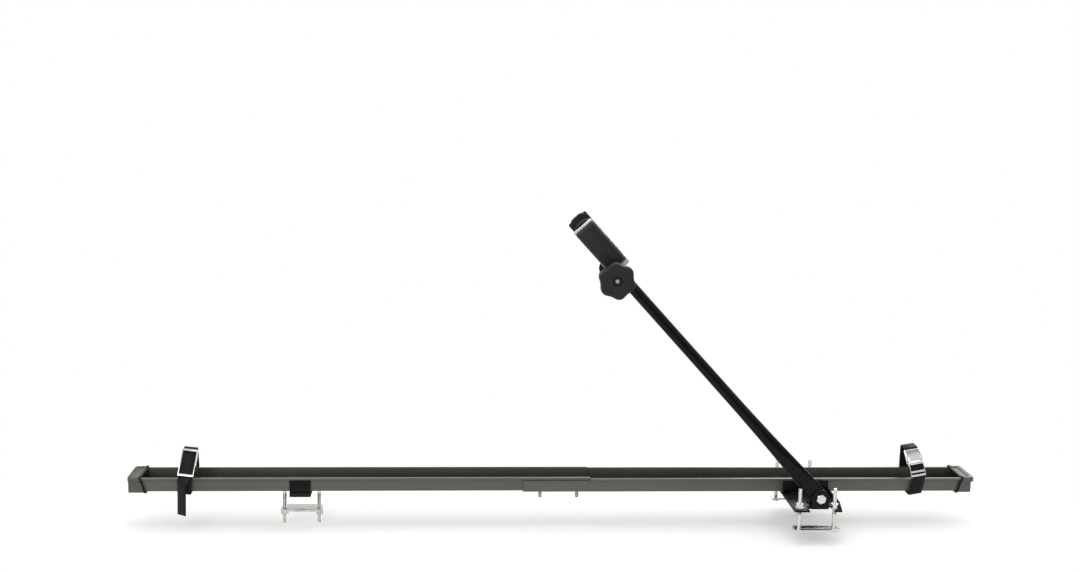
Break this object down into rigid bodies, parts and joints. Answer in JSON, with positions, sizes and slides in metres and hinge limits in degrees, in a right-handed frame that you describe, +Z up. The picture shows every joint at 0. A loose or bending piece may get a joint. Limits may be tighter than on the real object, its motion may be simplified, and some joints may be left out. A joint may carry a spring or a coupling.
{
  "type": "roof-mounted bike carrier",
  "caption": "Roof rack bike carrier: wheel channel with straps, bar clamps and a folding arm with knobbed frame clamp.",
  "frame": {"origin": "middle of the front bar seat, on the roof bar under the middle of the wheel channel", "axes": "+X along the channel towards the front wheel, +Y away from the arm, +Z up from the roof"},
  "size_m": [1.306, 0.178, 0.4826],
  "materials": {
    "rail_paint": "gloss",
    "bracket_paint": "gloss",
    "arm_paint": "gloss",
    "zinc": "satin",
    "chrome": "polished",
    "moulded": "moulded",
    "cap_plastic": "moulded",
    "rubber": "matte",
    "webbing": "woven"
  },
  "bodies": {
    "carrier": {"rail_rear_half": "rail_paint", "rail_front_half": "rail_paint", "rear_end_cap": "cap_plastic", "front_end_cap": "cap_plastic", "rail_joint_bolts": "zinc", "rail_joint_nuts": "zinc", "rear_saddle": "bracket_paint", "rear_pad": "rubber", "rear_bolts": "zinc", "front_base": "bracket_paint", "front_saddle": "bracket_paint", "front_pad": "rubber", "front_rail_bolts": "zinc", "front_rail_nuts": "zinc", "near_clamp_washers": "zinc", "near_clamp_nuts": "zinc", "far_clamp_washers": "zinc", "far_clamp_nuts": "zinc", "pivot_ear": "bracket_paint", "pivot_bolt": "zinc", "pivot_nut": "zinc", "rear_strap": "webbing", "rear_strap_tail": "webbing", "front_strap": "webbing", "rear_buckle_frame": "chrome", "rear_buckle_pin": "chrome", "front_buckle_frame": "chrome", "front_buckle_pin": "chrome"},
    "arm": {"arm_tube": "arm_paint", "front_jaw_plate": "chrome", "front_jaw_cover": "moulded", "front_jaw_pad": "rubber", "clamp_washer": "zinc"},
    "rear_jaw": {"rear_jaw_plate": "chrome", "rear_jaw_cover": "moulded", "rear_jaw_pad": "rubber", "clamp_bolt": "zinc"},
    "knob": {"clamp_knob": "moulded", "knob_insert": "zinc"},
    "rear_lever": {"rear_buckle_lever": "chrome"},
    "front_lever": {"front_buckle_lever": "chrome"},
    "rear_clamp": {"rear_clamp_plate": "zinc", "rear_washers": "zinc", "rear_nuts": "zinc"},
    "near_clamp": {"near_clamp_plate": "zinc", "near_clamp_bolts": "zinc"},
    "far_clamp": {"far_clamp_plate": "zinc", "far_clamp_bolts": "zinc"}
  },
  "joints": [
    {"name": "arm_pivot", "type": "hinge", "parent": "carrier", "child": "arm", "pos_m": [0.006, -0.094, 0.0188], "axis": [0, 1, 0], "range_deg": [-41, 62]},
    {"name": "rear_jaw_slide", "type": "slide", "parent": "arm", "child": "rear_jaw", "axis": [0, -1, 0], "range_m": [-0.006, 0.04]},
    {"name": "knob_spin", "type": "hinge", "parent": "arm", "child": "knob", "pos_m": [-0.30813, -0.06875, 0.34535], "axis": [0, 1, 0], "range_deg": [-1728, 11520]},
    {"name": "rear_lever_hinge", "type": "hinge", "parent": "carrier", "child": "rear_lever", "pos_m": [-0.94989, -0.01551, 0.04763], "axis": [-0.9945, 0, 0.1045], "range_deg": [0, 75]},
    {"name": "front_lever_hinge", "type": "hinge", "parent": "carrier", "child": "front_lever", "pos_m": [0.17398, -0.02678, 0.05248], "axis": [0.9848, 0, 0.1736], "range_deg": [0, 75]},
    {"name": "rear_clamp_slide", "type": "slide", "parent": "carrier", "child": "rear_clamp", "axis": [0, 0, 1], "range_m": [-0.012, 0.007]},
    {"name": "near_clamp_slide", "type": "slide", "parent": "carrier", "child": "near_clamp", "axis": [0, 0, 1], "range_m": [-0.012, 0.007]},
    {"name": "far_clamp_slide", "type": "slide", "parent": "carrier", "child": "far_clamp", "axis": [0, 0, 1], "range_m": [-0.012, 0.007]}
  ],
  "couplings": [
    {"joint": "rear_jaw_slide", "follows": "knob_spin", "m_per_rad": 0.00019894}
  ]
}
